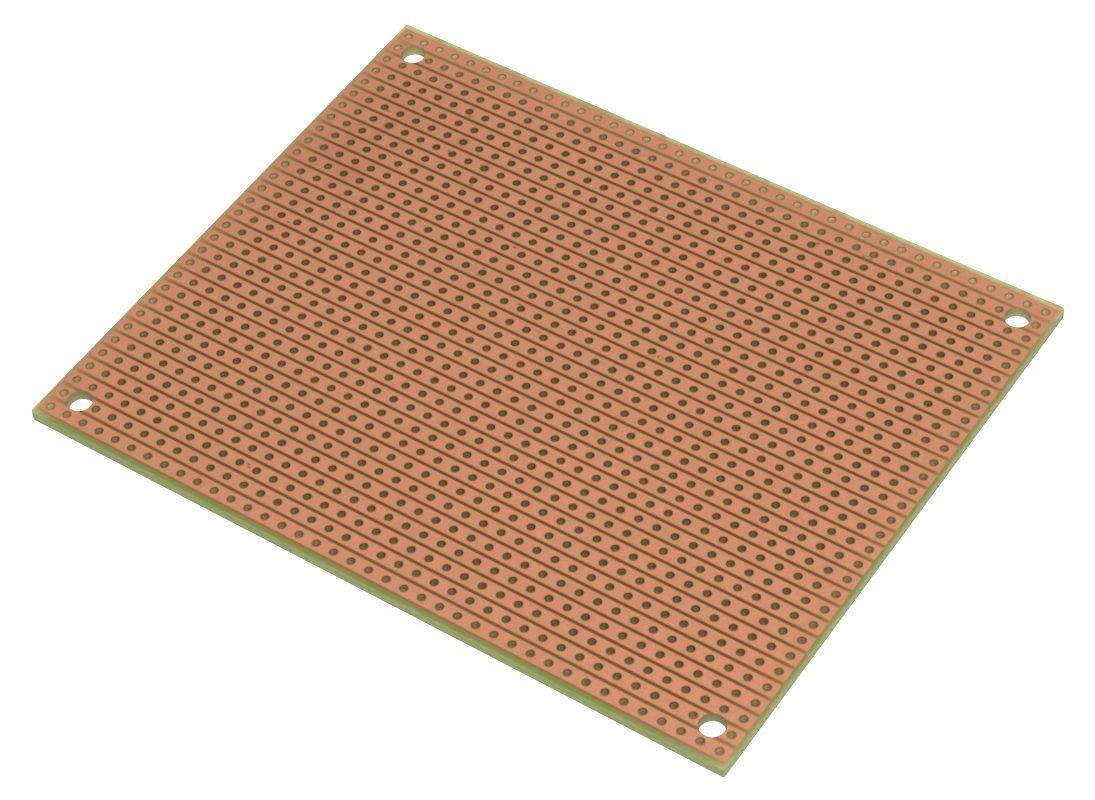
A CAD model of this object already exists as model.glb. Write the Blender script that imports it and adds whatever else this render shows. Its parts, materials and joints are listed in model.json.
# The looks of a bare stripboard: a drilled glass-epoxy laminate under strips of copper foil.
#
# Everything is in metres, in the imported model's own frame: +X runs along the copper strips,
# +Y across them and +Z out of the copper face, with the origin at the middle of the underside.
import json
import math
from types import SimpleNamespace

import bpy
import numpy as np
from mathutils import Matrix, Vector, geometry


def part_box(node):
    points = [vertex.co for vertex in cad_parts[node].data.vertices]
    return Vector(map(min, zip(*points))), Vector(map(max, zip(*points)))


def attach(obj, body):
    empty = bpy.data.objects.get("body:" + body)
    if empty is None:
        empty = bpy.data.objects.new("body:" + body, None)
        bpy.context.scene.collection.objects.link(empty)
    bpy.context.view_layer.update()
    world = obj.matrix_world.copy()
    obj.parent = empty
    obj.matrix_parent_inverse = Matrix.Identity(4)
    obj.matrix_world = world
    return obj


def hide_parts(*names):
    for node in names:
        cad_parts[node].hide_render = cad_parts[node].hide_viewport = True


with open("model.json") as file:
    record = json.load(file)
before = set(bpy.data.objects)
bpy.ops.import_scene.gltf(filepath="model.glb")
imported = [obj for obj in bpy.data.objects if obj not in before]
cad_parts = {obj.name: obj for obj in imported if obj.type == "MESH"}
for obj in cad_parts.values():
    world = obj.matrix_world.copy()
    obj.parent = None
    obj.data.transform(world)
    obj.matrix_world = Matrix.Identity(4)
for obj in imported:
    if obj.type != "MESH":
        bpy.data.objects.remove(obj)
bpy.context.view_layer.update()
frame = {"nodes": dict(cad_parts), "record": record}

MM = 0.001

# ---------------------------------------------------------------- sizes

# Distance between neighbouring lead holes, both ways.
PITCH = 2.54 * MM
# Least distance from the centre of a lead hole to the edge of the board.
EDGE_LAND = 1.5 * MM
# Least laminate between a mounting hole and a lead hole. Nearer lead holes aren't drilled.
HOLE_LAND = 0.3 * MM
# Radius of the board's corners and of the etched corners of the foil.
BOARD_CORNER_R = 0.3 * MM
FOIL_CORNER_R = 0.12 * MM
# Broken edges of the laminate and of the foil.
LAMINATE_BEVEL = 0.03 * MM
FOIL_BEVEL = 0.012 * MM

# Sides of the polygons that stand for a lead hole and a mounting hole, and steps of a corner.
LEAD_SIDES = 24
MOUNT_SIDES = 64
CORNER_STEPS = 6
# Points of a plan nearer than this, in mm, are one point.
SAME_POINT = 1e-5
# Least squared length that the way into the solid is divided by.
LEAST_LENGTH = 1e-9
# Edges that bend by more than this are shaded sharp.
SHARP_ANGLE = math.radians(30)

# Marks on the copper face, as seen in the photo: x, y, length along the strips and width, in mm.
RUSTY_MARKS = [
    (-21.8, -32.7, 0.5, 0.35), (-21.5, -33.0, 0.5, 0.35), (-14.15, 13.37, 0.85, 0.35),
    (-38.6, 30.7, 0.6, 0.5), (-41.7, 2.0, 0.5, 0.4), (18.4, 33.6, 0.8, 0.3),
]
RING_MARKS = [
    (24.9, 34.7, 1.2, 0.5), (11.6, 7.3, 0.8, 0.5),
]
DARK_MARKS = [
    (-8.2, 5.6, 0.8, 0.5), (-25.4, 22.9, 1.7, 1.6), (-25.4, 24.0, 0.6, 0.6),
    (-25.9, 20.7, 0.6, 0.6), (-25.2, 19.6, 0.7, 0.4), (-30.5, 25.4, 1.6, 1.5),
    (-31.2, 23.1, 0.5, 0.4), (-23.3, 25.8, 0.5, 0.5), (-15.0, 25.8, 0.7, 0.5),
    (-15.4, 24.6, 0.5, 0.3), (-32.4, 29.8, 0.9, 0.4), (-42.4, 25.1, 1.1, 0.5),
    (-40.7, 22.9, 1.6, 1.5), (-15.6, 7.0, 0.4, 0.4), (-15.5, 8.3, 0.4, 0.5),
    (18.2, 33.4, 0.4, 0.4),
]
FAINT_MARKS = [
    (-3.8, 3.0, 1.2, 0.5), (-9.8, 21.5, 1.3, 0.8), (-34.5, -7.3, 0.8, 0.4),
    (-13.6, -5.2, 0.6, 0.4), (-2.0, -17.5, 0.8, 0.5), (-25.8, -28.5, 0.8, 0.5),
    (23.3, -15.2, 0.8, 0.4), (6.0, 22.7, 0.8, 0.4), (38.9, 35.5, 0.6, 0.5), (38.9, -7.7, 0.7, 0.4),
    (43.9, 13.5, 0.5, 0.5), (42.9, -4.8, 0.7, 0.4), (33.1, -33.1, 0.7, 0.4),
    (30.4, -17.9, 0.7, 0.4), (49.3, 38.8, 0.6, 0.5), (-46.0, 15.3, 2.0, 1.8),
    (-46.0, 17.8, 1.6, 1.5),
]
# Middle and size, along X and along Y, of the part of the copper face that handling has dulled.
HANDLED_AREA = (-43 * MM, 17 * MM, 14 * MM, 24 * MM)

# Heights of the relief on the copper and on the laminate, and the pitch of the glass cloth's weave.
COPPER_RELIEF = 0.006 * MM
LAMINATE_RELIEF = 0.008 * MM
CLOTH_PITCH = 0.58 * MM

# Half the width of the white table, its gap below the board, and how much it glows.
TABLE_REACH = 3.0
TABLE_GAP = 0.02 * MM
TABLE_GLOW = 0.7

mounts = {mount["name"]: mount for mount in frame["record"]["mounts"]}
lead_r = mounts["lead_hole_centre"]["dims"]["r_mm"] * MM
mount_r = mounts["mounting_holes"]["dims"]["hole_r_mm"] * MM
mount_x = mounts["mounting_holes"]["dims"]["spacing_x_mm"] / 2 * MM
mount_y = mounts["mounting_holes"]["dims"]["spacing_y_mm"] / 2 * MM
mount_points = np.array([(sx * mount_x, sy * mount_y) for sx in (-1, 1) for sy in (-1, 1)])

_, board_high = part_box("base_laminate")
half_l = board_high.x
half_w = board_high.y
board_t = board_high.z
strip_low, strip_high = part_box("copper_strip_16")
strip_half_w = (strip_high.y - strip_low.y) / 2


def grid_places(half_length):
    """Where the lead holes stand along one direction: as many as fit, centred on the board."""
    reach = math.floor((half_length - EDGE_LAND) / PITCH)
    return np.arange(-reach, reach + 1) * PITCH


def distances(points, centres):
    """How far each point is from the nearest of the centres."""
    gaps = np.asarray(points)[:, None, :] - np.asarray(centres)[None, :, :]
    return np.linalg.norm(gaps, axis=2).min(axis=1)


grid = np.array([(x, y) for y in grid_places(half_w) for x in grid_places(half_l)])
lead_points = grid[distances(grid, mount_points) >= mount_r + HOLE_LAND + lead_r]


# ---------------------------------------------------------------- meshes

def circle(centre, radius, sides):
    turns = np.arange(sides) * (2 * math.pi / sides)
    return np.asarray(centre) + radius * np.column_stack([np.cos(turns), np.sin(turns)])


def rounded_rectangle(low, high, radius):
    """Points round a rectangle with rounded corners, no further than PITCH apart."""
    middles = [(high[0] - radius, low[1] + radius), (high[0] - radius, high[1] - radius),
               (low[0] + radius, high[1] - radius), (low[0] + radius, low[1] + radius)]
    arcs = []
    for corner, middle in enumerate(middles):
        for step in range(CORNER_STEPS + 1):
            turn = math.pi / 2 * (corner - 1 + step / CORNER_STEPS)
            arcs.append((middle[0] + radius * math.cos(turn), middle[1] + radius * math.sin(turn)))
    outline = []
    for here, after in zip(np.array(arcs), np.roll(arcs, -1, axis=0)):
        count = max(1, math.ceil(np.linalg.norm(after - here) / PITCH))
        outline.extend(here + (after - here) * step / count for step in range(count))
    return np.array(outline)


def on_grid(points):
    """How far each point is from the nearest place of the lead-hole grid."""
    return np.linalg.norm(points - np.round(points / PITCH) * PITCH, axis=1)


def triangulate(loops, cuts, low, high):
    """The flat area between low and high, bounded by the loops and split along the cuts, less its holes.

    Gives its points, its faces, the edges of its rim with the solid on their left, and the way
    into the solid at each point, which is long enough to set both edges there in by one."""
    points = []
    edges = []
    for loop in loops:
        first = len(points)
        points.extend(loop)
        edges.extend((first + i, first + (i + 1) % len(loop)) for i in range(len(loop)))
    for start, end in cuts:
        edges.append((len(points), len(points) + 1))
        points.extend([start, end])
    found = geometry.delaunay_2d_cdt([Vector(point) / MM for point in points], edges, [], 0, SAME_POINT)
    points = np.array([tuple(point) for point in found[0]]) * MM
    faces = np.array(found[2])

    a, b, c = (points[faces[:, corner]] for corner in range(3))
    turns_left = np.cross(b - a, c - a) > 0
    faces = np.where(turns_left[:, None], faces, faces[:, ::-1])
    middle = (a + b + c) / 3
    solid = ((middle > low) & (middle < high)).all(axis=1)
    solid &= distances(middle, mount_points) > mount_r * math.cos(math.pi / MOUNT_SIDES)
    in_lead_hole = on_grid(middle) < lead_r * math.cos(math.pi / LEAD_SIDES)
    solid &= ~(in_lead_hole & (distances(middle, mount_points) > mount_r + HOLE_LAND))
    faces = faces[solid]
    used, faces = np.unique(faces, return_inverse=True)
    points = points[used]
    faces = faces.reshape(-1, 3)

    sides = np.concatenate([faces[:, [0, 1]], faces[:, [1, 2]], faces[:, [2, 0]]])
    _, first, uses = np.unique(np.sort(sides, axis=1), axis=0, return_index=True, return_counts=True)
    rim = sides[first[uses == 1]]
    along = points[rim[:, 1]] - points[rim[:, 0]]
    along /= np.linalg.norm(along, axis=1)[:, None]
    into = np.column_stack([-along[:, 1], along[:, 0]])
    inward = np.zeros_like(points)
    np.add.at(inward, rim[:, 0], into)
    np.add.at(inward, rim[:, 1], into)
    inward *= 2 / np.maximum((inward ** 2).sum(axis=1), LEAST_LENGTH)[:, None]
    return SimpleNamespace(points=points, faces=faces, rim=rim, inward=inward)


def lay_out(mesh, corners, fold, spread, low, high, folds, margin, under):
    """A map for textures. The upper face and the walls lie in folds rows, one above the other.

    corners are the faces' vertices in order, fold is each one's row, or -1 on the lower face,
    which has the band on top. spread is where each vertex lies with the walls turned outward."""
    length = (high[0] - low[0]) / folds
    row = high[1] - low[1] + 2 * margin
    tall = folds * row + under
    at = spread[corners]
    u = (at[:, 0] - low[0] - fold * length + margin) / (length + 2 * margin)
    v = (at[:, 1] - low[1] + margin + fold * row) / tall
    on_lower = fold < 0
    v[on_lower] = 1 - (high[1] - at[on_lower, 1]) / (high[1] - low[1]) * under / tall
    u[on_lower] = (at[on_lower, 0] - low[0]) / (high[0] - low[0])
    layer = mesh.uv_layers.new(name="OFBake")
    layer.uv.foreach_set("vector", np.column_stack([u, v]).astype(np.float32).ravel())


def plate(name, plan, sections, low, high, folds, margin, under):
    """A closed mesh over a plan. Its walls follow sections, from the lower face to the upper.

    Each section goes with some of the plan's points, and lists rings: how far the ring is set
    in, its height, and how far out from the plan's edge it lies on the texture map."""
    count = len(plan.points)
    lower = np.zeros(count, int)
    upper = np.zeros(count, int)
    places = []
    spreads = []
    walls = []
    total = 0
    for members, section in sections:
        chosen = np.flatnonzero(members)
        number = np.zeros(count, int)
        number[chosen] = np.arange(len(chosen))
        edges = number[plan.rim[members[plan.rim[:, 0]]]]
        for level, (inset, height, reach) in enumerate(section):
            ring = plan.points[chosen] + plan.inward[chosen] * inset
            places.append(np.column_stack([ring, np.full(len(ring), height)]))
            spreads.append(plan.points[chosen] - plan.inward[chosen] * reach)
            upper[chosen] = total + number[chosen]
            if level == 0:
                lower[chosen] = upper[chosen]
            else:
                here = total + edges
                below = here - len(chosen)
                walls.append(np.column_stack([below, here[:, ::-1]]))
            total += len(chosen)
    places = np.concatenate(places)
    spreads = np.concatenate(spreads)
    walls = np.concatenate(walls)
    top = upper[plan.faces]
    bottom = lower[plan.faces[:, ::-1]]
    mesh = bpy.data.meshes.new(name)
    mesh.from_pydata(places, [], top.tolist() + bottom.tolist() + walls.tolist())
    mesh.shade_smooth()
    mesh.set_sharp_from_angle(angle=SHARP_ANGLE)

    def row_of(faces):
        along = (places[faces, 0].mean(axis=1) - low[0]) / (high[0] - low[0])
        return np.repeat(np.clip(np.floor(along * folds), 0, folds - 1), faces.shape[1])

    corners = np.concatenate([top.ravel(), walls.ravel()])
    fold = np.concatenate([row_of(top), row_of(walls)])
    # The lower face's corners come between the two, and take their own places.
    spread = np.concatenate([spreads, places[:, :2]])
    corners = np.concatenate([corners[:top.size], bottom.ravel() + total, corners[top.size:]])
    fold = np.concatenate([fold[:top.size], np.full(bottom.size, -1.0), fold[top.size:]])
    lay_out(mesh, corners, fold, spread, low, high, folds, margin, under)
    piece = bpy.data.objects.new(name, mesh)
    bpy.context.scene.collection.objects.link(piece)
    return piece


def add_laminate(material):
    """The laminate: one drilled plate, with its edges and the lower rims of its holes broken."""
    low = (-half_l, -half_w)
    high = (half_l, half_w)
    loops = [rounded_rectangle(low, high, BOARD_CORNER_R)]
    loops += [circle(point, lead_r, LEAD_SIDES) for point in lead_points]
    loops += [circle(point, mount_r, MOUNT_SIDES) for point in mount_points]
    plan = triangulate(loops, [], low, high)
    edge = LAMINATE_BEVEL
    on_outline = (half_l - abs(plan.points[:, 0]) < 2 * BOARD_CORNER_R)
    on_outline |= (half_w - abs(plan.points[:, 1]) < 2 * BOARD_CORNER_R)
    outline_section = [
        (edge, 0, board_t),
        (0, edge, board_t - edge),
        (0, board_t - edge, edge),
        (edge, board_t, 0),
    ]
    # On the texture map a hole's wall is drawn in towards its middle, so its reach stays under lead_r.
    hole_section = [(edge, 0, 0.75 * lead_r), (0, edge, 0.7 * lead_r), (0, board_t, 0)]
    sections = [(on_outline, outline_section), (~on_outline, hole_section)]
    piece = plate("drilled_laminate", plan, sections, low, high, 1, board_t, 2 * half_w)
    piece.data.materials.append(material)
    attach(piece, "root")
    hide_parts("base_laminate")


def add_foil(node, material):
    """One piece of foil: a strip, or what the mounting holes leave of one."""
    box_low, box_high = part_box(node)
    low = np.array(box_low.xy)
    high = np.array(box_high.xy)
    near = ((lead_points > low) & (lead_points < high)).all(axis=1)
    bites = (abs(mount_points - (low + high) / 2) < (high - low) / 2 + mount_r).all(axis=1)
    loops = [rounded_rectangle(low, high, FOIL_CORNER_R)]
    loops += [circle(point, lead_r, LEAD_SIDES) for point in lead_points[near]]
    loops += [circle(point, mount_r, MOUNT_SIDES) for point in mount_points[bites]]
    folds = max(1, round(math.sqrt((high[0] - low[0]) / (high[1] - low[1]))))
    cuts = []
    for fold in range(1, folds):
        x = low[0] + (high[0] - low[0]) * fold / folds
        cuts.append(((x, low[1] - PITCH), (x, high[1] + PITCH)))
    plan = triangulate(loops, cuts, low, high)
    bottom = box_low.z
    top = box_high.z
    # The foil's walls are low, so they take little room on the texture map.
    section = [(0, bottom, 0.2 * lead_r), (0, top - FOIL_BEVEL, 0.1 * lead_r), (FOIL_BEVEL, top, 0)]
    everywhere = np.full(len(plan.points), True)
    piece = plate(node + "_foil", plan, [(everywhere, section)], low, high, folds, 0.3 * lead_r, 2 * MM)
    piece.data.materials.append(material)
    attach(piece, "root")
    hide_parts(node)


# ---------------------------------------------------------------- material fields

def put(tree, socket, value):
    """Gives a node's input a plain value, or links a field or an output to it."""
    if isinstance(value, Field):
        tree.links.new(value.socket, socket)
    elif isinstance(value, bpy.types.NodeSocket):
        tree.links.new(value, socket)
    else:
        socket.default_value = value


class Field:
    """A number that varies over a surface. Sums and products of fields are Math nodes."""

    def __init__(self, tree, socket):
        self.tree = tree
        self.socket = socket

    def math(self, operation, *others):
        node = self.tree.nodes.new("ShaderNodeMath")
        node.operation = operation
        for socket, value in zip(node.inputs, (self, *others)):
            put(self.tree, socket, value)
        return Field(self.tree, node.outputs["Value"])

    def __add__(self, other):
        return self.math("ADD", other)

    def __sub__(self, other):
        return self.math("SUBTRACT", other)

    def __rsub__(self, other):
        return self.math("MULTIPLY_ADD", -1, other)

    def __mul__(self, other):
        return self.math("MULTIPLY", other)

    __radd__ = __add__
    __rmul__ = __mul__

    def __abs__(self):
        return self.math("ABSOLUTE")

    def least(self, other):
        return self.math("MINIMUM", other)

    def wave(self, length):
        """A sine, from -1 to 1, that comes round again after length."""
        return (self * (2 * math.pi / length)).math("SINE")

    def fades_over(self, length):
        """Falls from 1 where this is 0 to about a third where it is length."""
        return (self * (-1 / length)).math("EXPONENT")

    def step(self, low, high):
        """0 where this is low, 1 where it is high, and smooth between."""
        node = self.tree.nodes.new("ShaderNodeMapRange")
        node.interpolation_type = "SMOOTHSTEP"
        put(self.tree, node.inputs["Value"], self)
        node.inputs["From Min"].default_value = low
        node.inputs["From Max"].default_value = high
        return Field(self.tree, node.outputs["Result"])


class Place:
    """A place on the surface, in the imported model's frame, and what a material makes of it."""

    def __init__(self, tree, socket):
        self.tree = tree
        self.socket = socket

    def along(self, axis):
        """The place's distance along X, Y or Z."""
        node = self.tree.nodes.new("ShaderNodeSeparateXYZ")
        self.tree.links.new(self.socket, node.inputs[0])
        return Field(self.tree, node.outputs[axis])

    def vector(self, operation, *others):
        node = self.tree.nodes.new("ShaderNodeVectorMath")
        node.operation = operation
        for socket, value in zip(node.inputs, (self.socket, *others)):
            put(self.tree, socket, value)
        return node.outputs

    def noise(self, grain, detail=2.0, stretch=(1, 1, 1), shift=0.0):
        """Cloudy noise from 0 to 1, in blobs about grain across, longer by stretch."""
        scale = [1 / (grain * longer) for longer in stretch]
        scaled = self.vector("MULTIPLY", scale)["Vector"]
        node = self.tree.nodes.new("ShaderNodeTexNoise")
        moved = Place(self.tree, scaled).vector("ADD", (shift, shift, shift))["Vector"]
        self.tree.links.new(moved, node.inputs["Vector"])
        node.inputs["Scale"].default_value = 1
        node.inputs["Detail"].default_value = detail
        return Field(self.tree, node.outputs["Fac"])

    def roughened(self, grain, amount):
        """The place moved about at random, so that shapes drawn on it get uneven outlines."""
        node = self.tree.nodes.new("ShaderNodeTexNoise")
        self.tree.links.new(self.socket, node.inputs["Vector"])
        node.inputs["Scale"].default_value = 1 / grain
        centred = Place(self.tree, node.outputs["Color"]).vector("SUBTRACT", (0.5, 0.5, 0.5))["Vector"]
        moved = Place(self.tree, centred).vector("MULTIPLY_ADD", (2 * amount,) * 3, self.socket)["Vector"]
        return Place(self.tree, moved)

    def from_spot(self, x, y, long, wide):
        """How far the place is from x, y, where 1 is the edge of an oval long by wide."""
        moved = self.vector("SUBTRACT", (x, y, 0))["Vector"]
        shaped = Place(self.tree, moved).vector("MULTIPLY", (2 / long, 2 / wide, 0))["Vector"]
        return Field(self.tree, Place(self.tree, shaped).vector("LENGTH")["Value"])

    def from_spots(self, spots):
        """How far the place is from the nearest of some ovals, listed in millimetres."""
        nearest = None
        for spot in spots:
            distance = self.from_spot(*(size * MM for size in spot))
            nearest = distance.least(nearest) if nearest else distance
        return nearest

    def from_lead_hole(self):
        """Distance from the middle of the nearest lead hole."""
        cell = self.vector("WRAP", (PITCH / 2, PITCH / 2, 1), (-PITCH / 2, -PITCH / 2, -1))["Vector"]
        flat = Place(self.tree, cell).vector("MULTIPLY", (1, 1, 0))["Vector"]
        return Field(self.tree, Place(self.tree, flat).vector("LENGTH")["Value"])

    def from_mounting_hole(self):
        """Distance from the axis of the nearest mounting hole."""
        folded = self.vector("ABSOLUTE")["Vector"]
        return Place(self.tree, folded).from_spot(mount_x, mount_y, 2, 2)


def mixed(factor, first, second):
    """The first colour where the factor is 0, and the second where it is 1."""
    node = factor.tree.nodes.new("ShaderNodeMix")
    node.data_type = "RGBA"
    inputs = {socket.identifier: socket for socket in node.inputs}
    put(factor.tree, inputs["Factor_Float"], factor)
    put(factor.tree, inputs["A_Color"], first)
    put(factor.tree, inputs["B_Color"], second)
    return next(socket for socket in node.outputs if socket.identifier == "Result_Color")


def shaded(colour, light):
    """The colour times a field."""
    tree = light.tree
    node = tree.nodes.new("ShaderNodeVectorMath")
    node.operation = "SCALE"
    put(tree, node.inputs[0], colour)
    put(tree, node.inputs["Scale"], light)
    return node.outputs["Vector"]


def screen(red, green, blue):
    """A colour in the 0 to 255 steps of a screen, as Blender's linear numbers."""
    steps = [value / 255 for value in (red, green, blue)]
    return (*(((s + 0.055) / 1.055) ** 2.4 if s > 0.04045 else s / 12.92 for s in steps), 1)


def new_material(name):
    """A new material: its tree, its shader, and the surface's place and the way it faces."""
    material = bpy.data.materials.new(name)
    material.use_nodes = True
    tree = material.node_tree
    shader = tree.nodes["Principled BSDF"]
    coordinates = tree.nodes.new("ShaderNodeTexCoord")
    facing = Place(tree, coordinates.outputs["Normal"])
    return material, tree, shader, Place(tree, coordinates.outputs["Object"]), facing


def bump(shader, height, distance):
    """Turns a height field into relief, distance deep for each 1 of the field."""
    node = height.tree.nodes.new("ShaderNodeBump")
    node.inputs["Distance"].default_value = distance
    put(height.tree, node.inputs["Height"], height)
    put(height.tree, shader.inputs["Normal"], node.outputs["Normal"])


# ---------------------------------------------------------------- colours

COPPER_PINK = screen(218, 134, 119)
COPPER_TAN = screen(198, 153, 92)
COPPER_PATCH = screen(212, 138, 112)
COPPER_HANDLED = screen(170, 104, 82)
COPPER_FAINT_MARK = screen(168, 98, 70)
COPPER_RUSTY_MARK = screen(158, 70, 52)
COPPER_RING_MARK = screen(165, 85, 65)
COPPER_DARK_MARK = screen(98, 72, 52)
COPPER_ETCHED_EDGE = screen(130, 82, 48)
COPPER_DRILLED_RIM = screen(124, 80, 46)
COPPER_CLEAR_RIM = screen(128, 92, 60)

# The copper side of the laminate, between strips and on the bare margin, in the dark and lit.
GAP_DARK = screen(98, 67, 22)
GAP_LIT = screen(190, 162, 106)
MARGIN_DARK = screen(90, 92, 18)
MARGIN_LIT = screen(173, 178, 128)
MARGIN_STAIN = screen(100, 122, 34)

# The walls of the lead holes, from the copper down, and where light soaks in.
LEAD_HOLE_TOP = screen(104, 78, 42)
LEAD_HOLE_MIDDLE = screen(114, 108, 54)
LEAD_HOLE_BOTTOM = screen(142, 124, 64)
LEAD_HOLE_LIT = screen(199, 190, 133)
LEAD_HOLE_SMEAR = screen(84, 84, 62)

# The walls of the mounting holes, in the dark and lit, and the specks on them.
MOUNTING_HOLE_DARK = screen(118, 117, 80)
MOUNTING_HOLE_LIT = screen(154, 146, 102)
MOUNTING_HOLE_SPECK = screen(88, 90, 66)

# The sawn sides, at the copper and at the underside, with stains and fibres.
SIDE_TOP = screen(112, 119, 54)
SIDE_BOTTOM = screen(110, 113, 68)
SIDE_STAIN = screen(96, 120, 34)
SIDE_FIBRE = screen(144, 146, 110)

# The underside: where a strip shows through and where none does, round a hole, and in the weave.
BACK_BETWEEN = screen(168, 170, 104)
BACK_UNDER_STRIP = screen(160, 132, 78)
BACK_ROUND_HOLE = screen(196, 196, 140)
BACK_WEAVE = screen(146, 152, 84)


# ---------------------------------------------------------------- materials

def from_strip_middle(place):
    """Distance from the middle line of the nearest copper strip."""
    return abs(place.along("Y").math("WRAP", PITCH / 2, -PITCH / 2))


def copper_material():
    """Matt copper foil: tarnish in blotches, a fine grain, dull drilled rims and a few marks."""
    material, tree, shader, place, _ = new_material("copper_foil")
    blotch = 0.3 * place.noise(0.5 * MM) + 0.7 * place.noise(0.2 * MM, shift=1)
    patch = place.noise(3 * MM, shift=3)
    cloud = place.noise(18 * MM, shift=7)
    tarnish = place.noise(1.2 * MM, shift=11)
    grain = place.noise(0.14 * MM, detail=3, shift=5)
    colour = mixed(blotch.step(0.4, 0.6), COPPER_PINK, COPPER_TAN)
    colour = mixed(0.25 * patch.step(0.35, 0.65), colour, COPPER_PATCH)
    colour = shaded(colour, 0.74 + 0.52 * grain)
    colour = shaded(colour, 0.93 + 0.14 * tarnish)
    colour = shaded(colour, 0.95 + 0.1 * cloud)

    handled = place.from_spot(*HANDLED_AREA).step(1.6, 0.4) * place.noise(2.5 * MM, detail=4).step(0.3, 0.7)
    colour = mixed(0.3 * handled, colour, COPPER_HANDLED)
    uneven = place.roughened(0.35 * MM, 0.22 * MM)
    faint = uneven.from_spots(FAINT_MARKS).step(1.3, 0.2)
    colour = mixed(0.4 * faint, colour, COPPER_FAINT_MARK)
    rusty = uneven.from_spots(RUSTY_MARKS).step(1.25, 0.4)
    colour = mixed(0.8 * rusty, colour, COPPER_RUSTY_MARK)
    ring = abs(uneven.from_spots(RING_MARKS) - 1).step(0.5, 0.1)
    colour = mixed(0.65 * ring, colour, COPPER_RING_MARK)
    dark = uneven.from_spots(DARK_MARKS).step(1.35, 0.35)
    colour = mixed(0.55 * dark, colour, COPPER_DARK_MARK)
    etched = from_strip_middle(place).step(strip_half_w - 0.2 * MM, strip_half_w)
    colour = mixed(0.35 * etched, colour, COPPER_ETCHED_EDGE)
    rim = place.from_lead_hole().step(lead_r + 0.2 * MM, lead_r)
    colour = mixed(0.55 * rim, colour, COPPER_DRILLED_RIM)
    clear_rim = place.from_mounting_hole().step(mount_r + 0.15 * MM, mount_r)
    colour = mixed(0.4 * clear_rim, colour, COPPER_CLEAR_RIM)
    put(tree, shader.inputs["Base Color"], colour)
    put(tree, shader.inputs["Roughness"], 0.46 + 0.2 * grain + 0.15 * dark)
    shader.inputs["Metallic"].default_value = 0.6
    bump(shader, grain + 0.5 * blotch, COPPER_RELIEF)
    return material


def let_in(place, depth, far, near, left, right, hole):
    """The light that soaks into the laminate through its outer walls and mounting holes.

    It fades with the depth, and each wall has its own share, as the photo shows."""
    light = far * (half_w - place.along("Y")).fades_over(depth)
    light += near * (half_w + place.along("Y")).fades_over(depth)
    light += left * (half_l + place.along("X")).fades_over(depth)
    light += right * (half_l - place.along("X")).fades_over(depth)
    light += hole * (place.from_mounting_hole() - mount_r).fades_over(depth)
    return light.least(1)


def face_colour(place, light, mottle, stain):
    """The copper side of the laminate: brown between the strips, and greener on the bare margins."""
    from_end = half_l - abs(place.along("X"))
    from_side = half_w - abs(place.along("Y"))
    gap = mixed(light, GAP_DARK, GAP_LIT)
    margin = mixed(light, MARGIN_DARK, MARGIN_LIT)
    margin = mixed(0.5 * stain.step(0.45, 0.65), margin, MARGIN_STAIN)
    towards_left = place.along("X").step(half_l, -half_l)
    near_end = (from_side - from_end).step(0.5 * MM, 5 * MM) * (0.35 + 0.3 * towards_left)
    on_margin = from_end.least(from_side).step(0.9 * MM, 0.2 * MM)
    face = mixed(on_margin * (1 - near_end), gap, margin)
    return shaded(face, 0.9 + 0.2 * mottle)


def hole_colour(place, light, depth, grain, mottle):
    """The walls of the holes: drilled dark at the copper, paler below and where light soaks in."""
    lead = mixed(depth.step(0.1 * MM, 0.5 * MM), LEAD_HOLE_TOP, LEAD_HOLE_MIDDLE)
    lead = mixed(depth.step(0.6 * MM, 1.1 * MM), lead, LEAD_HOLE_BOTTOM)
    lead = mixed((light * 2).least(1) * depth.step(-0.1 * MM, 0.35 * MM), lead, LEAD_HOLE_LIT)
    lead = shaded(lead, 0.8 + 0.4 * place.noise(1.8 * MM, shift=9))
    lead = mixed(0.35 * mottle.step(0.5, 0.7), lead, LEAD_HOLE_SMEAR)
    mounting = mixed(light.step(0.12, 0.5), MOUNTING_HOLE_DARK, MOUNTING_HOLE_LIT)
    mounting = shaded(mounting, 0.84 + 0.16 * depth.step(0.2 * MM, 0.9 * MM))
    mounting = mixed(0.5 * grain.step(0.45, 0.7), mounting, MOUNTING_HOLE_SPECK)
    from_wall = place.from_mounting_hole() - mount_r
    return mixed(from_wall.step(0.3 * MM, 0.1 * MM), lead, mounting)


def side_colour(depth, stain, fibres):
    """The sawn sides of the board: stained near the copper, with pale fibres along them."""
    sawn = mixed(depth.step(0.1 * MM, 0.9 * MM), SIDE_TOP, SIDE_BOTTOM)
    sawn = mixed(stain.step(0.45, 0.65) * depth.step(0.9 * MM, 0.2 * MM), sawn, SIDE_STAIN)
    return mixed(0.6 * fibres.step(0.45, 0.75), sawn, SIDE_FIBRE)


def back_colour(place, weave):
    """The underside: the strips and the glass cloth show through it, and each hole is ringed."""
    from_strip = from_strip_middle(place)
    back = mixed(0.3 * from_strip.step(1.15 * MM, 0.85 * MM), BACK_BETWEEN, BACK_UNDER_STRIP)
    back = mixed(0.5 * place.from_lead_hole().step(0.95 * MM, 0.6 * MM), back, BACK_ROUND_HOLE)
    return mixed(0.25 * weave, back, BACK_WEAVE)


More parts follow.
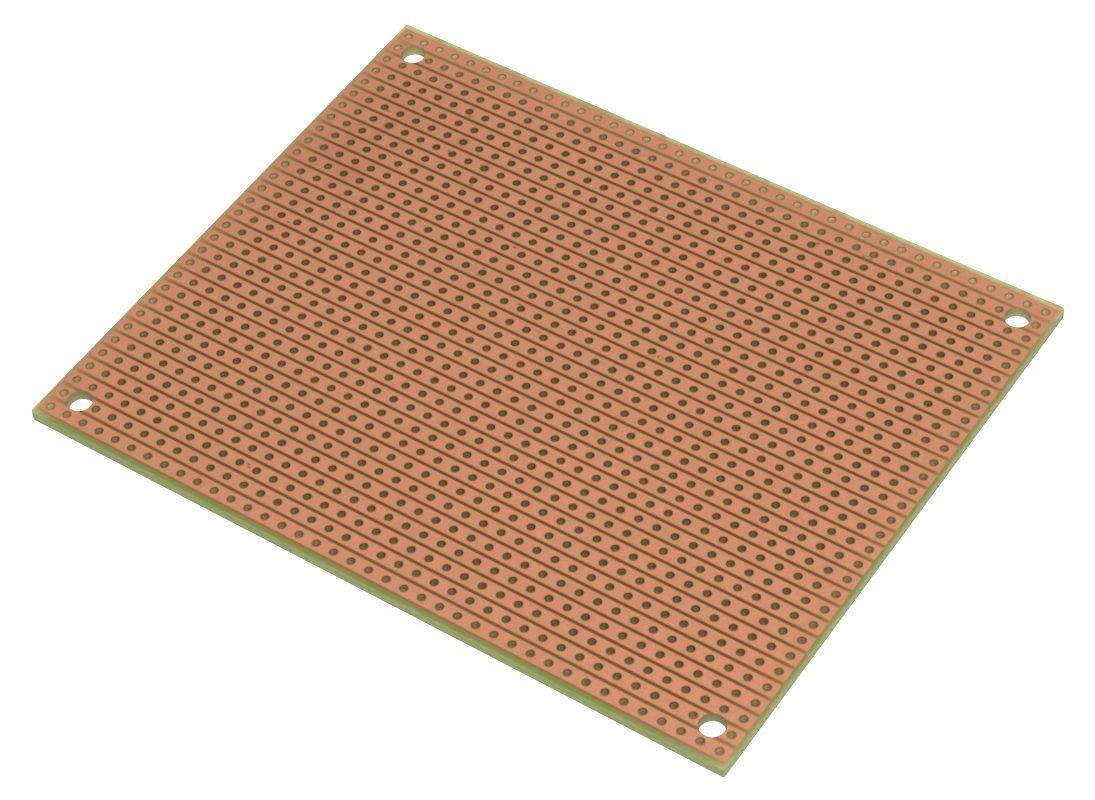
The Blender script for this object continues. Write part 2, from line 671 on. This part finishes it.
def laminate_material():
    """Glass-epoxy: brown between the strips, and paler and greener the nearer to an open edge."""
    material, tree, shader, place, facing = new_material("glass_epoxy")
    grain = place.noise(0.16 * MM, detail=3)
    mottle = place.noise(0.5 * MM, detail=4, shift=2)
    stain = place.noise(1.6 * MM, detail=3, stretch=(2, 2, 1), shift=6)
    fibres = place.noise(0.12 * MM, detail=3, stretch=(14, 14, 1), shift=4)
    weave = 0.5 + 0.5 * place.along("X").wave(CLOTH_PITCH) * place.along("Y").wave(CLOTH_PITCH)
    light = let_in(place, 2.0 * MM, far=1.05, near=0.3, left=0.62, right=0.38, hole=0.1)
    depth = board_t - place.along("Z")
    from_end = half_l - abs(place.along("X"))
    from_side = half_w - abs(place.along("Y"))

    face = face_colour(place, light, mottle, stain)
    hole = hole_colour(place, light, depth, grain, mottle)
    side = side_colour(depth, stain, fibres)
    wall = mixed(from_end.least(from_side).step(0.3 * MM, 0.1 * MM), hole, side)
    colour = mixed(abs(facing.along("Z")).step(0.7, 0.3), face, wall)
    colour = mixed(facing.along("Z").step(-0.3, -0.7), colour, back_colour(place, weave))
    colour = shaded(colour, 0.9 + 0.2 * grain)
    put(tree, shader.inputs["Base Color"], colour)
    put(tree, shader.inputs["Roughness"], 0.45 + 0.3 * mottle)
    shader.inputs["Specular IOR Level"].default_value = 0.2
    bump(shader, grain + weave + fibres, LAMINATE_RELIEF)
    return material


# ---------------------------------------------------------------- stage

def plain_material(name, colour, glow):
    material, _, shader, _, _ = new_material(name)
    shader.inputs["Base Color"].default_value = colour
    shader.inputs["Roughness"].default_value = 0.9
    shader.inputs["Emission Color"].default_value = (1, 1, 1, 1)
    shader.inputs["Emission Strength"].default_value = glow
    return material


def add_floor():
    """A plain white table, a little below the board's underside."""
    mesh = bpy.data.meshes.new("floor")
    signs = ((-1, -1), (1, -1), (1, 1), (-1, 1))
    corners = [(sx * TABLE_REACH, sy * TABLE_REACH, -TABLE_GAP) for sx, sy in signs]
    mesh.from_pydata(corners, [], [(0, 1, 2, 3)])
    mesh.materials.append(plain_material("white_table", (0.9, 0.9, 0.9, 1), TABLE_GLOW))
    floor = bpy.data.objects.new("floor", mesh)
    bpy.context.scene.collection.objects.link(floor)


def direction(azimuth, elevation):
    """The way from the board, by angles in degrees: 0, 0 is to the front and 90, 0 to the right."""
    turn = math.radians(azimuth)
    rise = math.radians(elevation)
    across = math.cos(rise)
    return Vector((math.sin(turn) * across, -math.cos(turn) * across, math.sin(rise)))


def add_lamp(name, azimuth, elevation, distance, size, watts):
    """A soft square lamp that faces the middle of the board's underside."""
    towards = direction(azimuth, elevation)
    light = bpy.data.lights.new(name, "AREA")
    light.size = size
    light.energy = watts
    lamp = bpy.data.objects.new(name, light)
    lamp.location = towards * distance
    lamp.rotation_mode = "QUATERNION"
    lamp.rotation_quaternion = towards.to_track_quat("Z", "Y")
    bpy.context.scene.collection.objects.link(lamp)


def add_world(strength):
    world = bpy.data.worlds.new("studio")
    world.use_nodes = True
    background = world.node_tree.nodes["Background"]
    background.inputs["Color"].default_value = (1, 1, 1, 1)
    background.inputs["Strength"].default_value = strength
    bpy.context.scene.world = world


def add_camera():
    """The camera looks down on the board from beyond its right front corner, tipped a little."""
    towards = direction(azimuth=37.32, elevation=49.74)
    tip = math.radians(-4.67)
    aim = Vector((3.510, -5.616, 1.677)) * MM
    distance = 391.08 * MM
    data = bpy.data.cameras.new("camera")
    data.sensor_width = 36
    data.lens = 105.62
    camera = bpy.data.objects.new("camera", data)
    pose = towards.to_track_quat("Z", "Y").to_matrix().to_4x4()
    place = Matrix.Translation(aim + towards * distance)
    camera.matrix_world = place @ pose @ Matrix.Rotation(tip, 4, "Z")
    bpy.context.scene.collection.objects.link(camera)
    bpy.context.scene.camera = camera


bpy.context.scene.view_settings.view_transform = "Standard"
add_camera()
add_world(strength=0.62)
add_lamp("key", azimuth=50, elevation=52, distance=0.55, size=0.4, watts=3.0)
add_floor()

add_laminate(laminate_material())
copper = copper_material()
for node in sorted(frame["nodes"]):
    if node.startswith("copper_strip"):
        add_foil(node, copper)
